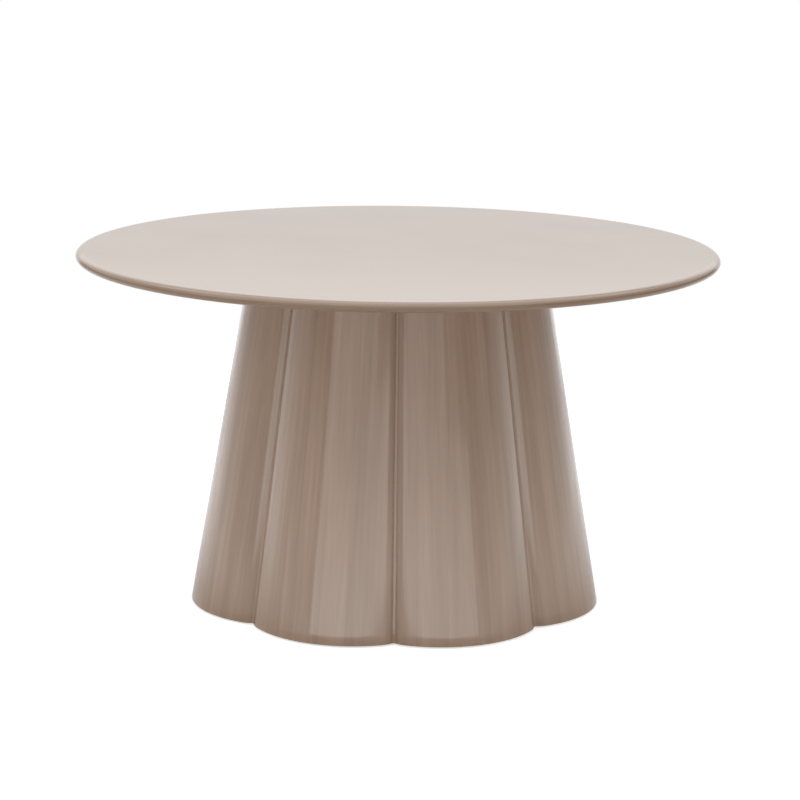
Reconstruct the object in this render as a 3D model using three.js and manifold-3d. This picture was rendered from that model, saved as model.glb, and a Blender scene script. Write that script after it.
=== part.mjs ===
import * as THREE from 'three';
import { mergeVertices } from 'three/addons/utils/BufferGeometryUtils.js';
import Module from 'manifold-3d';

// Side table: a round top with a thin rounded rim on a hollow, fluted cone of curved petals.
// Millimetres, +Z up. The origin is on the floor, under the middle of the table.
// A valley between two petals faces the front, which is -Y.

// Whole table
const tableHeight = 440;
const seatGap = 0.3; // left between pieces that are bolted together
const glueLine = 0.3; // left between pieces that are glued together

// Table top
const topRadius = 400;
const topThickness = 18;
const rimHeight = 12; // the rounded rim is thinner than the board
const rimRollWidth = 10; // from the rim in to where the top face is flat
const bevelWidth = 60; // the sloping underside, from the rounded rim in to the full thickness

// Pedestal: level section of one petal, measured on the floor
const petalCount = 8;
const footTipRadius = 267; // table axis to the middle of a petal
const crownRadius = 130; // the broad middle arc
const shoulderRadius = 30; // the tight arc beside a valley
const valleyFilletRadius = 3; // the hollow at the bottom of a valley
const valleyWallAngle = 42; // degrees between a petal's face and the joint at the valley
const petalThickness = 5;

// Pedestal: size of the same section right under the table top
const headTipRadius = 191.5;

// Boards inside the pedestal
const headBoardThickness = 18;
const middleBoardThickness = 12;
const footBoardThickness = 18;

// Battens behind the valleys
const battenWidth = 20;
const battenDepth = 16; // from the inner ridge of the joint to the batten's back

// Screws that hold the top, in line with the access holes below them
const boltCount = 4;
const boltCircleRadius = 110;
const boltRadius = 4;
const boltLength = 30;
const boltHeadRadius = 6.5;
const boltHeadHeight = 8;
const boltChamfer = 0.8;
const socketRadius = 3.46; // corner of the hexagon
const socketDepth = 4;
const boltHoleRadius = 4.5;
const accessHoleRadius = 25;

// Washers
const washerRadius = 12;
const washerHoleRadius = 4.2;
const washerThickness = 1.6;

// Threaded inserts in the underside of the top
const insertRadius = 6.5;
const insertLength = 13;
const insertFlangeRadius = 8;
const insertFlangeThickness = 1.2;
const threadClearance = 0.3;

// Felt pads under the foot board
const padRadius = 15;
const padHeight = 1.5;
const padInset = 40; // from the petal's middle in to the pad's centre

// How far a cutting solid runs past what it cuts
const cutOverrun = 2;

// Facets
const topFacets = 96;
const rimSteps = 14;
const crownSteps = 8;
const shoulderSteps = 5;
const filletSteps = 3;
const smallFacets = 24;
const holeFacets = 32;
const hexagonSides = 6;

// Levels, from the floor up
const footLevel = padHeight + glueLine;
const topUnderside = tableHeight - topThickness;
const headLevel = topUnderside - seatGap;
const footBoardTop = footLevel + footBoardThickness;
const headBoardUnderside = headLevel - headBoardThickness;
const middleBoardUnderside = (footBoardTop + headBoardUnderside - middleBoardThickness) / 2;

// Finishes
const lacquer = { color: 0x9f8c7d, roughness: 0.12, metalness: 0 };
const fibreboard = { color: 0xb08d63, roughness: 0.8, metalness: 0 };
const pine = { color: 0xd6b483, roughness: 0.75, metalness: 0 };
const zincSteel = { color: 0xb9bcc0, roughness: 0.35, metalness: 1 };
const brass = { color: 0xc79a45, roughness: 0.3, metalness: 1 };
const felt = { color: 0x4a443f, roughness: 1, metalness: 0 };

// Angles of the petal's arcs, measured at their centres from the petal's own middle line
const halfPetalAngle = Math.PI / petalCount;
const frontAngle = -Math.PI / 2;
const valleyNormalAngle = Math.PI / 2 - THREE.MathUtils.degToRad(valleyWallAngle);
const crownCentre = footTipRadius - crownRadius;
const shoulderOffJoint = shoulderRadius * Math.sin(valleyNormalAngle);
const crownEndAngle = halfPetalAngle + Math.asin(
  (crownCentre * Math.sin(halfPetalAngle) - shoulderOffJoint) / (crownRadius - shoulderRadius),
);
const shoulderCentre = onArc(crownCentre, 0, crownRadius - shoulderRadius, crownEndAngle);
const filletAngle = Math.asin(shoulderOffJoint / (shoulderRadius + valleyFilletRadius));
const filletCentre = onArc(
  shoulderCentre.x, shoulderCentre.y, shoulderRadius + valleyFilletRadius, halfPetalAngle + filletAngle,
);

const solids = await Module();
solids.setup();

function onArc(centreX, centreY, radius, angle) {
  return new THREE.Vector2(centreX + radius * Math.cos(angle), centreY + radius * Math.sin(angle));
}

function arcPoints(centreX, centreY, radius, startAngle, endAngle, steps) {
  const points = [];
  for (let step = 0; step <= steps; step += 1) {
    const angle = startAngle + (endAngle - startAngle) * step / steps;
    points.push(onArc(centreX, centreY, radius, angle));
  }
  return points;
}

// The pedestal's straight sides shrink its section evenly from the floor to the underside of the top.
function sectionScale(level) {
  return 1 + (headTipRadius / footTipRadius - 1) * level / topUnderside;
}

// Half of the face that lies depth inside the petal's outer face, at one level: from the petal's middle
// to the joint, which it misses by jointGap.
function faceHalf(level, depth, jointGap) {
  const scale = sectionScale(level);
  const shoulder = shoulderCentre.clone().multiplyScalar(scale);
  const fillet = filletCentre.clone().multiplyScalar(scale);
  const hollow = valleyFilletRadius * scale + depth;
  const joinAngle = halfPetalAngle + filletAngle;
  const jointAngle = halfPetalAngle + Math.asin(Math.min(1, jointGap / hollow));
  const crownArc = arcPoints(
    crownCentre * scale, 0, crownRadius * scale - depth, 0, crownEndAngle, crownSteps,
  );
  const shoulderArc = arcPoints(
    shoulder.x, shoulder.y, shoulderRadius * scale - depth, crownEndAngle, joinAngle, shoulderSteps,
  );
  const filletArc = arcPoints(
    fillet.x, fillet.y, hollow, Math.PI + joinAngle, Math.PI + jointAngle, filletSteps,
  );
  return [...crownArc, ...shoulderArc.slice(1), ...filletArc.slice(1)];
}

// Both halves of a face, from the joint on one side to the joint on the other.
function bothHalves(half) {
  const mirrored = half.slice(1).reverse().map((point) => new THREE.Vector2(point.x, -point.y));
  return [...mirrored, ...half];
}

function petalOutline(level) {
  const jointGap = glueLine / 2;
  const outer = bothHalves(faceHalf(level, 0, jointGap));
  const inner = bothHalves(faceHalf(level, petalThickness, jointGap));
  return [...outer, ...inner.reverse()];
}

// The hollow of the whole pedestal at one level, less a glue line: the outline of a board inside it.
function boardOutline(level) {
  const face = bothHalves(faceHalf(level, petalThickness + glueLine, 0)).slice(1);
  const outline = [];
  for (let petal = 0; petal < petalCount; petal += 1) {
    const angle = petalAngle(petal);
    outline.push(...face.map((point) => point.clone().rotateAround(new THREE.Vector2(), angle)));
  }
  return outline;
}

function petalAngle(petal) {
  return frontAngle + halfPetalAngle * (2 * petal + 1);
}

// Closed body between two level outlines with the same number of points, counter-clockwise from above.
function loft(outlineAt, lowerLevel, upperLevel) {
  const lower = outlineAt(lowerLevel);
  const upper = outlineAt(upperLevel);
  const count = lower.length;
  const positions = [];
  for (const point of lower) positions.push(point.x, point.y, lowerLevel);
  for (const point of upper) positions.push(point.x, point.y, upperLevel);
  const indices = [];
  for (let side = 0; side < count; side += 1) {
    const next = (side + 1) % count;
    indices.push(side, next, count + next);
    indices.push(side, count + next, count + side);
  }
  for (const [a, b, c] of THREE.ShapeUtils.triangulateShape(lower, [])) {
    indices.push(c, b, a);
  }
  for (const [a, b, c] of THREE.ShapeUtils.triangulateShape(upper, [])) {
    indices.push(count + a, count + b, count + c);
  }
  const geometry = new THREE.BufferGeometry();
  geometry.setAttribute('position', new THREE.Float32BufferAttribute(positions, 3));
  geometry.setIndex(indices);
  return geometry;
}

// Body turned about +Z from [radius, level] pairs that run counter-clockwise.
function turned(profile, facets) {
  const points = profile.map(([radius, level]) => new THREE.Vector2(radius, level));
  return new THREE.LatheGeometry(points, facets).rotateX(Math.PI / 2);
}

function rod(radius, lowerLevel, upperLevel, facets) {
  return turned([[0, lowerLevel], [radius, lowerLevel], [radius, upperLevel], [0, upperLevel]], facets);
}

function ring(holeRadius, radius, lowerLevel, upperLevel, facets) {
  return turned([
    [holeRadius, lowerLevel], [radius, lowerLevel], [radius, upperLevel],
    [holeRadius, upperLevel], [holeRadius, lowerLevel],
  ], facets);
}

// The same body with shared corners merged and collapsed facets dropped.
function sewn(geometry) {
  const bare = geometry.clone();
  bare.deleteAttribute('normal');
  bare.deleteAttribute('uv');
  const merged = mergeVertices(bare);
  const kept = [];
  const index = merged.index.array;
  for (let facet = 0; facet < index.length; facet += 3) {
    const [a, b, c] = [index[facet], index[facet + 1], index[facet + 2]];
    if (a !== b && b !== c && c !== a) kept.push(a, b, c);
  }
  merged.setIndex(kept);
  return merged;
}

function toSolid(geometry) {
  const closed = sewn(geometry);
  return new solids.Manifold(new solids.Mesh({
    numProp: 3,
    vertProperties: new Float32Array(closed.attributes.position.array),
    triVerts: new Uint32Array(closed.index.array),
  }));
}

function toGeometry(solid) {
  const mesh = solid.getMesh();
  const geometry = new THREE.BufferGeometry();
  geometry.setAttribute('position', new THREE.Float32BufferAttribute(mesh.vertProperties, 3));
  geometry.setIndex(Array.from(mesh.triVerts));
  return geometry;
}

function cut(geometry, cutters) {
  let solid = toSolid(geometry);
  for (const cutter of cutters) {
    solid = solid.subtract(toSolid(cutter));
  }
  return toGeometry(solid);
}

function common(geometry, other) {
  return toGeometry(toSolid(geometry).intersect(toSolid(other)));
}

const table = new THREE.Group();

function addPiece(name, geometry, finish) {
  const closed = sewn(geometry);
  closed.computeVertexNormals();
  const piece = new THREE.Mesh(closed, new THREE.MeshStandardMaterial(finish));
  piece.name = name;
  table.add(piece);
  return piece;
}

// Places on a circle round the table's axis, starting between the front and the side.
function boltPlaces() {
  const places = [];
  for (let bolt = 0; bolt < boltCount; bolt += 1) {
    const angle = frontAngle + Math.PI * (2 * bolt + 1) / boltCount;
    places.push(onArc(0, 0, boltCircleRadius, angle));
  }
  return places;
}

function holesAtBolts(profileGeometry) {
  return boltPlaces().map((place) => profileGeometry.clone().translate(place.x, place.y, 0));
}

// The rim is part of an ellipse. It leaves the flat top face level and meets the bevel at the bevel's slope.
function addTableTop() {
  const halfRim = rimHeight / 2;
  const bevelDrop = topThickness - rimHeight;
  const bevelEndAngle = -Math.atan2(halfRim * bevelWidth, rimRollWidth * bevelDrop);
  const profile = [[0, topUnderside], [topRadius - rimRollWidth - bevelWidth, topUnderside]];
  for (let step = 0; step <= rimSteps; step += 1) {
    const angle = bevelEndAngle + (Math.PI / 2 - bevelEndAngle) * step / rimSteps;
    profile.push([
      topRadius - rimRollWidth + rimRollWidth * Math.cos(angle),
      tableHeight - halfRim + halfRim * Math.sin(angle),
    ]);
  }
  profile.push([0, tableHeight]);
  const pocket = turned([
    [0, topUnderside - cutOverrun],
    [insertFlangeRadius + glueLine, topUnderside - cutOverrun],
    [insertFlangeRadius + glueLine, topUnderside + insertFlangeThickness + glueLine],
    [insertRadius + glueLine, topUnderside + insertFlangeThickness + glueLine],
    [insertRadius + glueLine, topUnderside + insertLength + glueLine],
    [0, topUnderside + insertLength + glueLine],
  ], smallFacets);
  addPiece('table_top', cut(turned(profile, topFacets), holesAtBolts(pocket)), lacquer);
}

// Each petal is one bent panel. Its edges stop half a glue line short of the joints.
function addPetals() {
  const panel = loft(petalOutline, footLevel, headLevel);
  for (let petal = 0; petal < petalCount; petal += 1) {
    addPiece(`petal_${petal + 1}`, panel.clone().rotateZ(petalAngle(petal)), lacquer);
  }
}

// A leaning bar behind the joint that faces +X, wide enough to leave clearance round a batten.
function battenBar(lowerLevel, upperLevel, clearance) {
  const halfWidth = battenWidth / 2 + clearance;
  return loft((level) => {
    const half = faceHalf(level, petalThickness, 0);
    const back = half[half.length - 1].length() - battenDepth - clearance;
    const front = footTipRadius;
    return [
      new THREE.Vector2(back, -halfWidth), new THREE.Vector2(front, -halfWidth),
      new THREE.Vector2(front, halfWidth), new THREE.Vector2(back, halfWidth),
    ];
  }, lowerLevel, upperLevel);
}

function valleyAngle(valley) {
  return frontAngle + 2 * halfPetalAngle * valley;
}

// A batten fills the corner behind a joint and follows the inner faces of both petals.
function addBattens() {
  const lowerLevel = footBoardTop + glueLine;
  const upperLevel = headBoardUnderside - glueLine;
  const hollow = loft(boardOutline, lowerLevel, upperLevel);
  const bar = battenBar(lowerLevel - cutOverrun, upperLevel + cutOverrun, 0);
  for (let valley = 0; valley < petalCount; valley += 1) {
    const batten = common(hollow, bar.clone().rotateZ(valleyAngle(valley)));
    addPiece(`batten_${valley + 1}`, batten, pine);
  }
}

function addBoards() {
  const accessHoles = holesAtBolts(rod(accessHoleRadius, footLevel - cutOverrun, headLevel, holeFacets));
  const boltHoles = holesAtBolts(
    rod(boltHoleRadius, headBoardUnderside - cutOverrun, headLevel + cutOverrun, smallFacets),
  );
  const notches = [];
  const middleBoardTop = middleBoardUnderside + middleBoardThickness;
  const notch = battenBar(middleBoardUnderside - cutOverrun, middleBoardTop + cutOverrun, glueLine);
  for (let valley = 0; valley < petalCount; valley += 1) {
    notches.push(notch.clone().rotateZ(valleyAngle(valley)));
  }
  const headBoard = loft(boardOutline, headBoardUnderside, headLevel);
  const middleBoard = loft(boardOutline, middleBoardUnderside, middleBoardTop);
  const footBoard = loft(boardOutline, footLevel, footBoardTop);
  addPiece('head_board', cut(headBoard, boltHoles), fibreboard);
  addPiece('middle_board', cut(middleBoard, [...accessHoles, ...notches]), fibreboard);
  addPiece('foot_board', cut(footBoard, accessHoles), fibreboard);
}

// The screw stands head down, with its hexagon socket open to the floor.
function boltGeometry(bearingLevel) {
  const headEnd = bearingLevel - boltHeadHeight;
  const tip = bearingLevel + boltLength;
  const body = turned([
    [0, headEnd], [boltHeadRadius - boltChamfer, headEnd], [boltHeadRadius, headEnd + boltChamfer],
    [boltHeadRadius, bearingLevel], [boltRadius, bearingLevel], [boltRadius, tip - boltChamfer],
    [boltRadius - boltChamfer, tip], [0, tip],
  ], smallFacets);
  return cut(body, [rod(socketRadius, headEnd - cutOverrun, headEnd + socketDepth, hexagonSides)]);
}

function insertGeometry() {
  const bore = boltRadius + threadClearance;
  const flangeTop = topUnderside + insertFlangeThickness;
  const end = topUnderside + insertLength;
  return turned([
    [bore, topUnderside], [insertFlangeRadius, topUnderside], [insertFlangeRadius, flangeTop],
    [insertRadius, flangeTop], [insertRadius, end], [bore, end], [bore, topUnderside],
  ], smallFacets);
}

function addFasteners() {
  const washerTop = headBoardUnderside - seatGap;
  const washerUnderside = washerTop - washerThickness;
  const washer = ring(washerHoleRadius, washerRadius, washerUnderside, washerTop, smallFacets);
  const bolt = boltGeometry(washerUnderside - seatGap);
  const insert = insertGeometry();
  boltPlaces().forEach((place, number) => {
    for (const [name, geometry, finish] of [
      ['bolt', bolt, zincSteel], ['washer', washer, zincSteel], ['insert', insert, brass],
    ]) {
      const piece = addPiece(`${name}_${number + 1}`, geometry, finish);
      piece.position.set(place.x, place.y, 0);
    }
  });
}

function addPads() {
  const pad = rod(padRadius, 0, padHeight, smallFacets);
  for (let petal = 0; petal < petalCount; petal += 1) {
    const place = onArc(0, 0, footTipRadius - padInset, petalAngle(petal));
    addPiece(`felt_pad_${petal + 1}`, pad, felt).position.set(place.x, place.y, 0);
  }
}

addTableTop();
addPetals();
addBoards();
addBattens();
addFasteners();
addPads();

export default table;
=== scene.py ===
"""The side table's looks: gloss-lacquered top and petals round a plain wooden carcass."""

import math

import bmesh
import bpy
from mathutils import Euler, Matrix, Quaternion, Vector, noise


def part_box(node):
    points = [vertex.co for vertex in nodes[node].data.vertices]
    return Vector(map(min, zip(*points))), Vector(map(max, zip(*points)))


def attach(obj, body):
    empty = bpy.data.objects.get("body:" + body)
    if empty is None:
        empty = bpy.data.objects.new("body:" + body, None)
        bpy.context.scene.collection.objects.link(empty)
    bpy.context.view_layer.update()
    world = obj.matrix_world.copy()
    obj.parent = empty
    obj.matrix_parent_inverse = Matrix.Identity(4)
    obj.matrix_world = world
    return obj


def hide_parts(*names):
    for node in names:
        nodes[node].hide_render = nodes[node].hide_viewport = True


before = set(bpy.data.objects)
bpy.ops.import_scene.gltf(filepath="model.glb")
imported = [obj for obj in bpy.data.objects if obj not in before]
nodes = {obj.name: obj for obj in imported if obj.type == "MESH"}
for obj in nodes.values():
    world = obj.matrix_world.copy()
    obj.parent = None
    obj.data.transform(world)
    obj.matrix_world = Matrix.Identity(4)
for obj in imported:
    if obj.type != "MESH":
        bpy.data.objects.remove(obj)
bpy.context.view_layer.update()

MM = 0.001

# Table top, as the frame has it
TOP_LOW, TOP_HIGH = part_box("table_top")
TOP_RADIUS = TOP_HIGH.x
TOP_THICKNESS = TOP_HIGH.z - TOP_LOW.z
RIM_HEIGHT = 12 * MM  # the rounded rim is thinner than the board
RIM_ROLL_WIDTH = 10 * MM  # from the rim in to where the top face is flat
BEVEL_WIDTH = 60 * MM  # the sloping underside, from the rounded rim in to the full thickness
FLAT_MARGIN = 1 * MM  # level strip beside the rim and the bevel that keeps the flat faces shaded flat
TOP_SEGMENTS = 288
RIM_STEPS = 28

# Pockets for the threaded inserts in the underside of the top
BOLTS = 4
BOLT_CIRCLE_RADIUS = 110 * MM
POCKET_MARGIN = 0.3 * MM
INSERT_RADIUS = 6.5 * MM
INSERT_LENGTH = 13 * MM
INSERT_FLANGE_RADIUS = 8 * MM
INSERT_FLANGE_THICKNESS = 1.2 * MM
POCKET_SEGMENTS = 32

# Level section of one petal, measured on the floor
PETALS = 8
FOOT_TIP_RADIUS = 267 * MM
HEAD_TIP_RADIUS = 191.5 * MM  # the same, under the table top
CROWN_RADIUS = 130 * MM
SHOULDER_RADIUS = 30 * MM
VALLEY_FILLET_RADIUS = 3 * MM
VALLEY_WALL_ANGLE = math.radians(42)
PETAL_THICKNESS = 5 * MM
JOINT_GAP = 0.01 * MM  # the lacquer closes the glued joint
PETAL_LOW, PETAL_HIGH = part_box("petal_1")
ARRIS_RADIUS = 0.7 * MM  # the rounded edges at a petal's foot and head
ARRIS_STEPS = 3
PETAL_LEVELS = 36
CROWN_STEPS = 46
SHOULDER_STEPS = 22
FILLET_STEPS = 6

# Upright ripple that the sprayed and polished petals keep, about a tenth of a millimetre deep
RIPPLES = (
    # width across, length along, depth
    (26 * MM, 420 * MM, 0.10 * MM),
    (9 * MM, 190 * MM, 0.012 * MM),
)
RIPPLE_FADE_STEPS = 6  # points beside a joint over which the ripple dies away

# Upright lines in the petals' lacquer: broad bands that break up into lines a sixteenth as wide. They make a
# real faint bump, and lighter and darker lines painted into the colour as a painted streaky reflection
STREAK_WIDTH = 26 * MM
STREAK_LENGTH = 620 * MM
STREAK_DEPTH = 0.05 * MM

HALF_PETAL = math.pi / PETALS
FRONT = -math.pi / 2
SHARP_EDGE_ANGLE = math.radians(35)  # flatter edges than this are shaded smooth


def linear(hex_colour):
    """An sRGB hex value as linear red, green, blue and alpha."""
    channels = [int(hex_colour[i:i + 2], 16) / 255 for i in (1, 3, 5)]
    return (*[c / 12.92 if c <= 0.04045 else ((c + 0.055) / 1.055) ** 2.4 for c in channels], 1.0)


def add_node(tree, kind, settings=None, links=None):
    """Adds a node. Settings name its properties or input sockets, and links its inputs' sources."""
    node = tree.nodes.new(kind)
    for name, value in (settings or {}).items():
        if name in node.inputs:
            node.inputs[name].default_value = value
        else:
            setattr(node, name, value)
    for name, source in (links or {}).items():
        tree.links.new(source, node.inputs[name])
    return node


def new_material(name):
    material = bpy.data.materials.new(name)
    material.use_nodes = True
    material.node_tree.nodes.clear()
    return material, material.node_tree


def finish_material(tree, settings, links):
    """Ends a material in one Principled surface."""
    surface = add_node(tree, "ShaderNodeBsdfPrincipled", settings, links)
    add_node(tree, "ShaderNodeOutputMaterial", links={"Surface": surface.outputs["BSDF"]})


def colour_steps(tree, factor, steps):
    """A colour ramp from (place, hex) steps."""
    ramp = add_node(tree, "ShaderNodeValToRGB", links={"Fac": factor})
    while len(ramp.color_ramp.elements) < len(steps):
        ramp.color_ramp.elements.new(0.5)
    for element, (place, colour) in zip(ramp.color_ramp.elements, steps):
        element.position = place
        element.color = linear(colour)
    return ramp.outputs["Color"]


def per_metre(size):
    """Noise scale at which one feature is as large as size, in metres."""
    return 1 / size


def polished_lacquer(name, colours, roughness_range, coat, peel_depth, streaks):
    """Sprayed polyurethane lacquer, flatted and polished: a deep, wet gloss with a trace of orange peel.

    Streaks adds upright lines that fade in and out up each petal: a real faint bump, and lighter and darker
    lines in the colour that are a painted streaky reflection.
    """
    material, tree = new_material(name)
    place = add_node(tree, "ShaderNodeTexCoord").outputs["Object"]
    cloud = add_node(tree, "ShaderNodeTexNoise",
                     {"Scale": per_metre(120 * MM), "Detail": 3.0, "Roughness": 0.5}, {"Vector": place})
    peel = add_node(tree, "ShaderNodeTexNoise",
                    {"Scale": per_metre(3.5 * MM), "Detail": 1.0, "Roughness": 0.4}, {"Vector": place})
    bump = add_node(tree, "ShaderNodeBump", {"Strength": 0.25, "Distance": peel_depth},
                    {"Height": peel.outputs["Fac"]})
    pattern = cloud.outputs["Fac"]
    if streaks:
        along = add_node(tree, "ShaderNodeUVMap", {"uv_map": "generators"}).outputs["UV"]
        strands = add_node(tree, "ShaderNodeMapping",
                           {"Scale": (per_metre(STREAK_WIDTH), per_metre(STREAK_LENGTH), 1.0)},
                           {"Vector": along})
        lines = add_node(tree, "ShaderNodeTexNoise",
                         {"Scale": 1.0, "Detail": 4.0, "Roughness": 0.72, "Distortion": 0.2},
                         {"Vector": strands.outputs["Vector"]})
        bump = add_node(tree, "ShaderNodeBump", {"Strength": 1.0, "Distance": STREAK_DEPTH},
                        {"Height": lines.outputs["Fac"], "Normal": bump.outputs["Normal"]})
        # The colour follows the streak lines: painted streaky reflection
        pattern = lines.outputs["Fac"]
    colour = colour_steps(tree, pattern, colours)
    low, high = roughness_range
    roughness = add_node(tree, "ShaderNodeMapRange",
                         {"From Min": 0.3, "From Max": 0.7, "To Min": low, "To Max": high},
                         {"Value": cloud.outputs["Fac"]})
    finish_material(
        tree,
        {"IOR": 1.5, "Coat Weight": coat, "Coat Roughness": 0.06, "Coat IOR": 1.5},
        {"Base Color": colour, "Roughness": roughness.outputs["Result"],
         "Normal": bump.outputs["Normal"], "Coat Normal": bump.outputs["Normal"]},
    )
    return material


def sanded_fibreboard():
    """Medium-density fibreboard, sanded: matt tan, flecked with short pale and dark fibres."""
    material, tree = new_material("sanded_fibreboard")
    place = add_node(tree, "ShaderNodeTexCoord").outputs["Object"]
    fibres = add_node(tree, "ShaderNodeTexNoise",
                      {"Scale": per_metre(1.2 * MM), "Detail": 4.0, "Roughness": 0.7}, {"Vector": place})
    blotches = add_node(tree, "ShaderNodeTexNoise",
                        {"Scale": per_metre(35 * MM), "Detail": 2.0}, {"Vector": place})
    mixed = add_node(tree, "ShaderNodeMix", {"data_type": "FLOAT", "Factor": 0.35},
                     {"A": fibres.outputs["Fac"], "B": blotches.outputs["Fac"]})
    colour = colour_steps(tree, mixed.outputs["Result"],
                          ((0.3, "#8F6D47"), (0.5, "#A98659"), (0.7, "#C1A073")))
    bump = add_node(tree, "ShaderNodeBump", {"Strength": 0.5, "Distance": 0.08 * MM},
                    {"Height": fibres.outputs["Fac"]})
    finish_material(tree, {"Roughness": 0.85, "IOR": 1.46},
                    {"Base Color": colour, "Normal": bump.outputs["Normal"]})
    return material


def planed_pine():
    """Planed pine: pale yellow wood with darker growth rings that run along the batten."""
    material, tree = new_material("planed_pine")
    place = add_node(tree, "ShaderNodeTexCoord").outputs["Object"]
    grain = add_node(tree, "ShaderNodeMapping",
                     {"Scale": (per_metre(5 * MM), per_metre(5 * MM), per_metre(140 * MM))},
                     {"Vector": place})
    rings = add_node(tree, "ShaderNodeTexNoise",
                     {"Scale": 1.0, "Detail": 5.0, "Roughness": 0.6, "Distortion": 0.6},
                     {"Vector": grain.outputs["Vector"]})
    colour = colour_steps(tree, rings.outputs["Fac"],
                          ((0.32, "#B98D55"), (0.48, "#D8B57F"), (0.7, "#E6CB9B")))
    bump = add_node(tree, "ShaderNodeBump", {"Strength": 0.5, "Distance": 0.1 * MM},
                    {"Height": rings.outputs["Fac"]})
    finish_material(tree, {"Roughness": 0.7, "IOR": 1.5},
                    {"Base Color": colour, "Normal": bump.outputs["Normal"]})
    return material


def zinc_plated_steel():
    """Cold-headed steel with bright zinc: a cool, slightly cloudy shine."""
    material, tree = new_material("zinc_plated_steel")
    place = add_node(tree, "ShaderNodeTexCoord").outputs["Object"]
    spangle = add_node(tree, "ShaderNodeTexNoise",
                       {"Scale": per_metre(2 * MM), "Detail": 3.0}, {"Vector": place})
    colour = colour_steps(tree, spangle.outputs["Fac"], ((0.35, "#B4B8BD"), (0.65, "#D2D5D8")))
    roughness = add_node(tree, "ShaderNodeMapRange", {"To Min": 0.25, "To Max": 0.45},
                         {"Value": spangle.outputs["Fac"]})
    finish_material(tree, {"Metallic": 1.0},
                    {"Base Color": colour, "Roughness": roughness.outputs["Result"]})
    return material


def turned_brass():
    """Brass turned on an automatic lathe: warm yellow metal with fine tool marks round it."""
    material, tree = new_material("turned_brass")
    place = add_node(tree, "ShaderNodeTexCoord").outputs["Object"]
    marks = add_node(tree, "ShaderNodeMapping",
                     {"Scale": (per_metre(8 * MM), per_metre(8 * MM), per_metre(0.4 * MM))},
                     {"Vector": place})
    grooves = add_node(tree, "ShaderNodeTexNoise", {"Scale": 1.0, "Detail": 2.0},
                       {"Vector": marks.outputs["Vector"]})
    colour = colour_steps(tree, grooves.outputs["Fac"], ((0.35, "#BF983F"), (0.65, "#DDBE6C")))
    bump = add_node(tree, "ShaderNodeBump", {"Strength": 0.4, "Distance": 0.03 * MM},
                    {"Height": grooves.outputs["Fac"]})
    finish_material(tree, {"Metallic": 1.0, "Roughness": 0.3},
                    {"Base Color": colour, "Normal": bump.outputs["Normal"]})
    return material


def pressed_felt():
    """Pressed wool felt: dark, matt and faintly hairy."""
    material, tree = new_material("pressed_felt")
    place = add_node(tree, "ShaderNodeTexCoord").outputs["Object"]
    hairs = add_node(tree, "ShaderNodeTexNoise",
                     {"Scale": per_metre(0.8 * MM), "Detail": 5.0, "Roughness": 0.8}, {"Vector": place})
    colour = colour_steps(tree, hairs.outputs["Fac"], ((0.3, "#2F2A26"), (0.7, "#5B534C")))
    bump = add_node(tree, "ShaderNodeBump", {"Strength": 0.8, "Distance": 0.25 * MM},
                    {"Height": hairs.outputs["Fac"]})
    finish_material(tree, {"Roughness": 0.95, "Sheen Weight": 0.4, "Sheen Roughness": 0.5},
                    {"Base Color": colour, "Normal": bump.outputs["Normal"]})
    return material


def on_arc(centre, radius, angle):
    return Vector((centre.x + radius * math.cos(angle), centre.y + radius * math.sin(angle)))


def arc(centre, radius, start, end, steps):
    return [on_arc(centre, radius, start + (end - start) * i / steps) for i in range(steps + 1)]


# Centres and turning angles of the petal's arcs on the floor, from its own middle line
VALLEY_NORMAL = math.pi / 2 - VALLEY_WALL_ANGLE
CROWN_CENTRE = Vector((FOOT_TIP_RADIUS - CROWN_RADIUS, 0))
SHOULDER_OFF_JOINT = SHOULDER_RADIUS * math.sin(VALLEY_NORMAL)
CROWN_END = HALF_PETAL + math.asin(
    (CROWN_CENTRE.x * math.sin(HALF_PETAL) - SHOULDER_OFF_JOINT) / (CROWN_RADIUS - SHOULDER_RADIUS))
SHOULDER_CENTRE = on_arc(CROWN_CENTRE, CROWN_RADIUS - SHOULDER_RADIUS, CROWN_END)
FILLET_TURN = math.asin(SHOULDER_OFF_JOINT / (SHOULDER_RADIUS + VALLEY_FILLET_RADIUS))
FILLET_CENTRE = on_arc(SHOULDER_CENTRE, SHOULDER_RADIUS + VALLEY_FILLET_RADIUS, HALF_PETAL + FILLET_TURN)


def section_scale(level):
    return 1 + (HEAD_TIP_RADIUS / FOOT_TIP_RADIUS - 1) * level / TOP_LOW.z


def half_face(level, depth):
    """Half of the face that lies depth inside the outer one, from the petal's middle to the joint."""
    scale = section_scale(level)
    hollow = VALLEY_FILLET_RADIUS * scale + depth
    joint = HALF_PETAL + math.asin(JOINT_GAP / hollow)
    crown = arc(CROWN_CENTRE * scale, CROWN_RADIUS * scale - depth, 0, CROWN_END, CROWN_STEPS)
    shoulder = arc(SHOULDER_CENTRE * scale, SHOULDER_RADIUS * scale - depth,
                   CROWN_END, HALF_PETAL + FILLET_TURN, SHOULDER_STEPS)
    fillet = arc(FILLET_CENTRE * scale, hollow,
                 math.pi + HALF_PETAL + FILLET_TURN, math.pi + joint, FILLET_STEPS)
    return crown + shoulder[1:] + fillet[1:]


def face_line(level, depth):
    """A whole level line on a petal's face, from joint to joint."""
    half = half_face(level, depth)
    return [Vector((p.x, -p.y)) for p in reversed(half[1:])] + half


def ripple_depth(across, level, petal):
    """How far the outer face stands back at one place, in metres."""
    depth = 0
    for number, (width, length, deepest) in enumerate(RIPPLES):
        place = Vector((across / width, level / length, 7.3 * petal + 31.7 * number))
        depth += deepest * (0.5 + 0.5 * noise.noise(place))
    return depth


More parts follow.
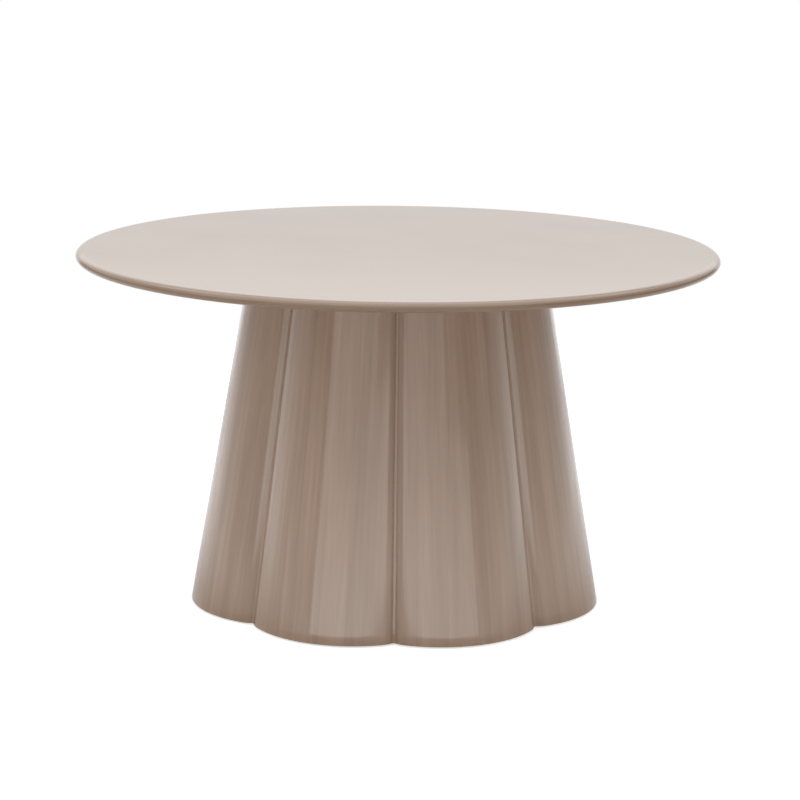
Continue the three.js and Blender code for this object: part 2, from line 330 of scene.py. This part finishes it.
def petal_levels():
    """(level, inset) pairs up the petal, with a rounded arris at its foot and head."""
    turns = [math.pi / 2 * i / ARRIS_STEPS for i in range(ARRIS_STEPS)]
    foot = [(PETAL_LOW.z + ARRIS_RADIUS * (1 - math.cos(t)), ARRIS_RADIUS * (1 - math.sin(t)))
            for t in turns]
    head = [(PETAL_LOW.z + PETAL_HIGH.z - level, inset) for level, inset in reversed(foot)]
    low, high = PETAL_LOW.z + ARRIS_RADIUS, PETAL_HIGH.z - ARRIS_RADIUS
    middle = [(low + (high - low) * i / PETAL_LEVELS, 0) for i in range(PETAL_LEVELS + 1)]
    return foot + middle + head


def lengths_along(line):
    lengths = [0.0]
    for a, b in zip(line, line[1:]):
        lengths.append(lengths[-1] + (b - a).length)
    return lengths


def bent_petal(petal, lacquer):
    """One bent and lacquered panel: a ring of points at each level, outer face first."""
    turn = FRONT + HALF_PETAL * (2 * petal + 1)
    turned = Matrix.Rotation(turn, 2)
    across = lengths_along(face_line(0, 0))
    steps = len(across) - 1
    levels = petal_levels()
    mesh = bmesh.new()
    generators = mesh.loops.layers.uv.new("generators")
    places = {}
    rings = []
    for level, inset in levels:
        outer = face_line(level, 0)
        deeper = face_line(level, ARRIS_RADIUS)
        inner = face_line(level, PETAL_THICKNESS)
        ring = []
        for i, (surface, inside) in enumerate(zip(outer, deeper)):
            inwards = (inside - surface) / ARRIS_RADIUS
            fade = min(1, i / RIPPLE_FADE_STEPS, (steps - i) / RIPPLE_FADE_STEPS)
            depth = inset + fade * ripple_depth(across[i], level, petal)
            point = turned @ (surface + inwards * depth)
            ring.append(mesh.verts.new((point.x, point.y, level)))
        for line_point in reversed(inner):
            point = turned @ line_point
            ring.append(mesh.verts.new((point.x, point.y, level)))
        for i, vert in enumerate(ring):
            places[vert] = (across[min(i, 2 * steps + 1 - i)] + petal, level)
        rings.append(ring)
    count = len(rings[0])
    for low, high in zip(rings, rings[1:]):
        for i in range(count):
            j = (i + 1) % count
            mesh.faces.new((low[i], low[j], high[j], high[i]))
    for i in range(steps):
        j = count - 1 - i
        mesh.faces.new((rings[0][i + 1], rings[0][i], rings[0][j], rings[0][j - 1]))
        mesh.faces.new((rings[-1][i], rings[-1][i + 1], rings[-1][j - 1], rings[-1][j]))
    for face in mesh.faces:
        for loop in face.loops:
            loop[generators].uv = places[loop.vert]
    name = f"petal_{petal + 1}"
    return add_piece(mesh, f"lacquered_{name}", lacquer, name)


def add_piece(mesh, name, material, node):
    """Turns a bmesh into a piece that stands for a CAD node."""
    mesh.normal_update()
    data = bpy.data.meshes.new(name)
    mesh.to_mesh(data)
    mesh.free()
    for polygon in data.polygons:
        polygon.use_smooth = True
    data.set_sharp_from_angle(angle=SHARP_EDGE_ANGLE)
    data.materials.append(material)
    piece = bpy.data.objects.new(name, data)
    bpy.context.scene.collection.objects.link(piece)
    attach(piece, "root")
    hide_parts(node)
    return piece


def circle(mesh, centre, radius, level, segments):
    return [mesh.verts.new((*on_arc(centre, radius, 2 * math.pi * i / segments), level))
            for i in range(segments)]


def join_rings(mesh, low, high):
    """A band of faces that look outwards if high lies above low or the rings shrink upwards."""
    for i in range(len(low)):
        j = (i + 1) % len(low)
        mesh.faces.new((low[i], low[j], high[j], high[i]))


def ring_edges(mesh, ring):
    return [mesh.edges.get((a, b)) or mesh.edges.new((a, b)) for a, b in zip(ring, ring[1:] + ring[:1])]


def thin_rimmed_top(lacquer):
    """The round top: rounded rim, bevelled underside, and the pockets for the inserts."""
    mesh = bmesh.new()
    axis = Vector((0, 0))
    flat_radius = TOP_RADIUS - RIM_ROLL_WIDTH
    bevel_foot = flat_radius - BEVEL_WIDTH
    half = RIM_HEIGHT / 2
    bevel_end = -math.atan2(half * BEVEL_WIDTH, RIM_ROLL_WIDTH * (TOP_THICKNESS - RIM_HEIGHT))
    profile = [(bevel_foot - FLAT_MARGIN, TOP_LOW.z), (bevel_foot, TOP_LOW.z)]
    for i in range(RIM_STEPS + 1):
        angle = bevel_end + (math.pi / 2 - bevel_end) * i / RIM_STEPS
        profile.append((flat_radius + RIM_ROLL_WIDTH * math.cos(angle),
                        TOP_HIGH.z - half + half * math.sin(angle)))
    profile.append((flat_radius - FLAT_MARGIN, TOP_HIGH.z))
    rings = [circle(mesh, axis, radius, level, TOP_SEGMENTS) for radius, level in profile]
    for low, high in zip(rings, rings[1:]):
        join_rings(mesh, low, high)
    mesh.faces.new(rings[-1])
    rims = ring_edges(mesh, rings[0])
    for bolt in range(BOLTS):
        centre = on_arc(axis, BOLT_CIRCLE_RADIUS, FRONT + math.pi * (2 * bolt + 1) / BOLTS)
        flange_level = TOP_LOW.z + INSERT_FLANGE_THICKNESS + POCKET_MARGIN
        end_level = TOP_LOW.z + INSERT_LENGTH + POCKET_MARGIN
        pocket = ((INSERT_FLANGE_RADIUS, TOP_LOW.z), (INSERT_FLANGE_RADIUS, flange_level),
                  (INSERT_RADIUS, flange_level), (INSERT_RADIUS, end_level))
        steps = [circle(mesh, centre, radius + POCKET_MARGIN, level, POCKET_SEGMENTS)
                 for radius, level in pocket]
        for low, high in zip(steps, steps[1:]):
            join_rings(mesh, high, low)
        mesh.faces.new(list(reversed(steps[-1])))
        rims += ring_edges(mesh, steps[0])
    bmesh.ops.triangle_fill(mesh, edges=rims, normal=(0, 0, -1), use_dissolve=False)
    bmesh.ops.recalc_face_normals(mesh, faces=mesh.faces)
    return add_piece(mesh, "lacquered_top", lacquer, "table_top")


def dress_carcass():
    """Gives the hidden pieces, which keep their frame shapes, their materials."""
    finishes = {
        "board": sanded_fibreboard(),
        "batten": planed_pine(),
        "bolt": zinc_plated_steel(),
        "insert": turned_brass(),
        "felt": pressed_felt(),
    }
    finishes["washer"] = finishes["bolt"]
    for name, node in nodes.items():
        for word, material in finishes.items():
            if word in name:
                node.data.materials.clear()
                node.data.materials.append(material)


# Floor: it ends behind the table, where the white backdrop begins
FLOOR_BEHIND = 1.8
FLOOR_IN_FRONT = 9.0
FLOOR_HALF_WIDTH = 9.0
FLOOR_CAMERA_GLOW = 0.62  # lifts the paper to white for the camera, but not its shadow
FLOOR_GLOSSY_GLOW = 0.1


def studio_floor():
    """A wide sheet of white paper. It looks white to the camera and keeps a soft shadow of the table."""
    bpy.ops.mesh.primitive_plane_add(size=1, location=(0, (FLOOR_BEHIND - FLOOR_IN_FRONT) / 2, 0))
    floor = bpy.context.active_object
    floor.name = "studio_floor"
    floor.scale = (2 * FLOOR_HALF_WIDTH, FLOOR_BEHIND + FLOOR_IN_FRONT, 1)
    material, tree = new_material("white_paper_sweep")
    ray = add_node(tree, "ShaderNodeLightPath")
    camera = add_node(tree, "ShaderNodeMath", {"operation": "MULTIPLY"})
    tree.links.new(ray.outputs["Is Camera Ray"], camera.inputs[0])
    camera.inputs[1].default_value = FLOOR_CAMERA_GLOW
    mirrored = add_node(tree, "ShaderNodeMath", {"operation": "MAXIMUM"})
    tree.links.new(ray.outputs["Is Glossy Ray"], mirrored.inputs[0])
    tree.links.new(ray.outputs["Is Transmission Ray"], mirrored.inputs[1])
    strength = add_node(tree, "ShaderNodeMath", {"operation": "MULTIPLY_ADD"})
    tree.links.new(mirrored.outputs["Value"], strength.inputs[0])
    strength.inputs[1].default_value = FLOOR_GLOSSY_GLOW
    tree.links.new(camera.outputs["Value"], strength.inputs[2])
    paper = add_node(tree, "ShaderNodeBsdfDiffuse", {"Color": linear("#F4F4F4")})
    glow = add_node(tree, "ShaderNodeEmission", {"Color": linear("#FFFFFF")},
                    {"Strength": strength.outputs["Value"]})
    seen = add_node(tree, "ShaderNodeAddShader")
    tree.links.new(paper.outputs["BSDF"], seen.inputs[0])
    tree.links.new(glow.outputs["Emission"], seen.inputs[1])
    add_node(tree, "ShaderNodeOutputMaterial", links={"Surface": seen.outputs["Shader"]})
    floor.data.materials.append(material)


WORLD_SOFT_LIGHT = 0.3
WORLD_WHITE = 1.0


def studio_world():
    """White where the camera, glossy and clear rays see it, and a soft grey light for the rest."""
    world = bpy.data.worlds.new("studio")
    bpy.context.scene.world = world
    world.use_nodes = True
    tree = world.node_tree
    tree.nodes.clear()
    ray = add_node(tree, "ShaderNodeLightPath")
    seen = ray.outputs["Is Camera Ray"]
    for other in ("Is Glossy Ray", "Is Transmission Ray"):
        larger = add_node(tree, "ShaderNodeMath", {"operation": "MAXIMUM"})
        tree.links.new(seen, larger.inputs[0])
        tree.links.new(ray.outputs[other], larger.inputs[1])
        seen = larger.outputs["Value"]
    soft = add_node(tree, "ShaderNodeBackground", {"Color": linear("#FFFFFF"), "Strength": WORLD_SOFT_LIGHT})
    white = add_node(tree, "ShaderNodeBackground", {"Color": linear("#FFFFFF"), "Strength": WORLD_WHITE})
    mix = add_node(tree, "ShaderNodeMixShader", links={"Fac": seen})
    tree.links.new(soft.outputs["Background"], mix.inputs[1])
    tree.links.new(white.outputs["Background"], mix.inputs[2])
    add_node(tree, "ShaderNodeOutputWorld", links={"Surface": mix.outputs["Shader"]})


def softbox(name, size, place, target, brightness):
    """A rectangular lamp that faces target. Brightness is how white its face looks."""
    light = bpy.data.lights.new(name, "AREA")
    light.shape = "RECTANGLE"
    light.size, light.size_y = size
    light.energy = brightness * 4 * size[0] * size[1]
    lamp = bpy.data.objects.new(name, light)
    bpy.context.scene.collection.objects.link(lamp)
    lamp.location = place
    lamp.rotation_mode = "QUATERNION"
    lamp.rotation_quaternion = (Vector(target) - Vector(place)).to_track_quat("-Z", "Y")
    return light


def fade_upwards(light):
    """Lets a softbox's face fade out from its lower to its upper edge."""
    light.use_nodes = True
    tree = light.node_tree
    tree.nodes.clear()
    place = add_node(tree, "ShaderNodeNewGeometry").outputs["Parametric"]
    height = add_node(tree, "ShaderNodeSeparateXYZ", links={"Vector": place})
    fade = add_node(tree, "ShaderNodeMapRange", {"To Min": 1.0, "To Max": 0.0},
                    {"Value": height.outputs["Y"]})
    glow = add_node(tree, "ShaderNodeEmission", links={"Strength": fade.outputs["Result"]})
    add_node(tree, "ShaderNodeOutputLight", links={"Surface": glow.outputs["Emission"]})


# Softboxes, in metres
SOFTBOXES = (
    # name, size, place, target, brightness
    ("overhead_softbox", (4.2, 4.2), (0, 0, 2.6), (0, 0, 0), 1.0),
    ("key_softbox", (1.8, 1.8), (-3.0, -1.2, 2.0), (0, 0, 0.2), 1.2),
    ("rear_softbox", (3.0, 1.2), (0, 2.6, 1.5), (0, 0, 0.44), 0.35),
)
LOW_SOFTBOX_DISTANCE = 4.2
LOW_SOFTBOX_SIZE = (3.1, 0.8)
LOW_SOFTBOXES = (
    # name, degrees round from the front, brightness
    ("left_low_softbox", -41, 1.15),
    ("middle_low_softbox", 0, 1.15),
    ("right_low_softbox", 41, 1.0),
)


def studio_lights():
    """A large softbox overhead, a key one high on the left, and low ones round the camera's side."""
    for name, size, place, target, brightness in SOFTBOXES:
        softbox(name, size, place, target, brightness)
    height = LOW_SOFTBOX_SIZE[1] / 2
    for name, degrees, brightness in LOW_SOFTBOXES:
        turn = math.radians(degrees)
        place = (LOW_SOFTBOX_DISTANCE * math.sin(turn), -LOW_SOFTBOX_DISTANCE * math.cos(turn), height)
        fade_upwards(softbox(name, LOW_SOFTBOX_SIZE, place, (0, 0, height), brightness))


# Cards that only the lacquer sees: ones beside the table whose glow fades upwards, and a grey screen in
# front on the right
SIDE_CARD_HEIGHT = 0.75
SIDE_CARD_OFF_AXIS = 1.05
SIDE_CARD_FRONT = -1.2
SIDE_CARD_BACK = 1.1
CARD_FOOT_GLOW = 1.1
LEFT_CARD_GLOW = 0.35  # at CARD_FADE_HEIGHT and above
RIGHT_CARD_GLOW = 0.22
CARD_FADE_HEIGHT = 0.5
SCREEN_DISTANCE = 5.0
SCREEN_LEFT = 1.7
SCREEN_RIGHT = 7.5
SCREEN_LOW = 0.85
SCREEN_HIGH = 2.4
SCREEN_GLOW = 0.42


def mirrored_card(name, material, size, place, rotation):
    """An upright card that the lacquer mirrors and the camera doesn't see."""
    bpy.ops.mesh.primitive_plane_add(size=1, location=place, rotation=rotation)
    card = bpy.context.active_object
    card.name = name
    card.scale = (*size, 1)
    card.visible_camera = False
    card.data.materials.append(material)


def backlit_card(name, foot_glow, glow):
    """Matt translucent sheet, lit from behind: an even grey that can be brighter near the floor."""
    material, tree = new_material(name)
    place = add_node(tree, "ShaderNodeNewGeometry").outputs["Position"]
    height = add_node(tree, "ShaderNodeSeparateXYZ", links={"Vector": place})
    fade = add_node(tree, "ShaderNodeMapRange",
                    {"From Max": CARD_FADE_HEIGHT, "To Min": foot_glow, "To Max": glow},
                    {"Value": height.outputs["Z"]})
    finish_material(tree, {"Base Color": linear("#4A4A4A"), "Roughness": 1.0,
                           "Emission Color": linear("#FFFFFF")},
                    {"Emission Strength": fade.outputs["Result"]})
    return material


def studio_cards():
    """Cards beside the table and a grey screen in front on the right, which the petals mirror."""
    for side, name, glow in ((-1, "left_card", LEFT_CARD_GLOW), (1, "right_card", RIGHT_CARD_GLOW)):
        mirrored_card(name, backlit_card(name, CARD_FOOT_GLOW, glow),
                      (SIDE_CARD_HEIGHT, SIDE_CARD_BACK - SIDE_CARD_FRONT),
                      (side * SIDE_CARD_OFF_AXIS, (SIDE_CARD_FRONT + SIDE_CARD_BACK) / 2,
                       SIDE_CARD_HEIGHT / 2), (0, math.pi / 2, 0))
    mirrored_card("grey_screen", backlit_card("grey_screen", SCREEN_GLOW, SCREEN_GLOW),
                  (SCREEN_RIGHT - SCREEN_LEFT, SCREEN_HIGH - SCREEN_LOW),
                  ((SCREEN_LEFT + SCREEN_RIGHT) / 2, -SCREEN_DISTANCE, (SCREEN_LOW + SCREEN_HIGH) / 2),
                  (math.pi / 2, 0, 0))


# The photograph's camera: where it stood, and how its 800 px frame saw the table
CAMERA_DISTANCE = 2.920
CAMERA_HEIGHT = 0.886
CAMERA_PITCH = math.radians(12.38)
CAMERA_ROLL = math.radians(0.65)
CAMERA_AZIMUTH = math.radians(0)
PHOTO_WIDTH_PX = 800
FOCAL_LENGTH_PX = 2358
AXIS_COLUMN_PX = 396.5


def photo_camera():
    data = bpy.data.cameras.new("photo_camera")
    data.lens = data.sensor_width * FOCAL_LENGTH_PX / PHOTO_WIDTH_PX
    data.shift_x = (PHOTO_WIDTH_PX / 2 - AXIS_COLUMN_PX) / PHOTO_WIDTH_PX
    camera = bpy.data.objects.new("photo_camera", data)
    bpy.context.scene.collection.objects.link(camera)
    camera.location = (CAMERA_DISTANCE * math.sin(CAMERA_AZIMUTH),
                       -CAMERA_DISTANCE * math.cos(CAMERA_AZIMUTH), CAMERA_HEIGHT)
    look = Euler((math.pi / 2 - CAMERA_PITCH, 0, CAMERA_AZIMUTH)).to_quaternion()
    camera.rotation_mode = "QUATERNION"
    camera.rotation_quaternion = look @ Quaternion((0, 0, 1), CAMERA_ROLL)
    bpy.context.scene.camera = camera


# The top and the petals carry one taupe lacquer. Here it is painted darker to offset the stronger light on
# the top: painted shade
top_lacquer_darkened_for_light = polished_lacquer("polished_taupe_lacquer_top", ((0.35, "#907660"), (0.65, "#967C67")),
                               (0.12, 0.16), coat=0.05, peel_depth=0.002 * MM, streaks=False)
# Painted lighter than the top's copy of the same lacquer to offset the shade under the top (painted light).
# Its two steps are the streak lines, a painted reflection
petal_lacquer_lightened_for_shade = polished_lacquer("polished_taupe_lacquer_petals", ((0.3, "#9C7E66"), (0.7, "#B79A83")),
                                 (0.16, 0.22), coat=1.0, peel_depth=0.006 * MM, streaks=True)
thin_rimmed_top(top_lacquer_darkened_for_light)
for petal in range(PETALS):
    bent_petal(petal, petal_lacquer_lightened_for_shade)
dress_carcass()
studio_floor()
studio_world()
studio_lights()
studio_cards()
photo_camera()
bpy.context.scene.view_settings.view_transform = "Standard"
